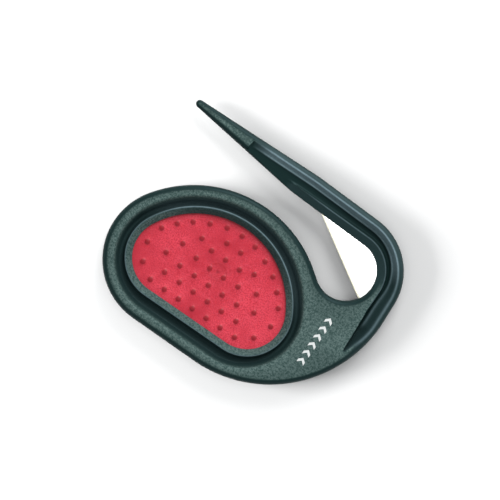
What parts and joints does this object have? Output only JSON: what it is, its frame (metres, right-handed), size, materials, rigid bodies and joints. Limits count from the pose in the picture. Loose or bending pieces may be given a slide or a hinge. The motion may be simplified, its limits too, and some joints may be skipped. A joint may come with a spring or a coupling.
{
  "type": "hooked safety cutter",
  "caption": "Handheld hooked mat splitter: ringed soft thumb pad, blunt tapering probe and a fixed blade across the throat.",
  "frame": {"origin": "middle of the plan outline's box, on the rear face that the tool rests on", "axes": "+X along the grip from the probe's tip to the back of the hook, +Y from the grip to the probe, +Z through the thickness towards the front face"},
  "size_m": [0.1038, 0.0826, 0.011],
  "materials": {
    "shell_front": "fine spark-textured matte, satin in the grooves",
    "shell_rear": "fine spark-textured matte, satin in the grooves",
    "blade": "bright ground steel",
    "pad": "translucent soft red elastomer with raised nubs"
  },
  "bodies": {
    "root": {"front_shell": "shell_front", "rear_shell": "shell_rear", "cutting_blade": "blade", "grip_pad": "pad"}
  },
  "joints": []
}
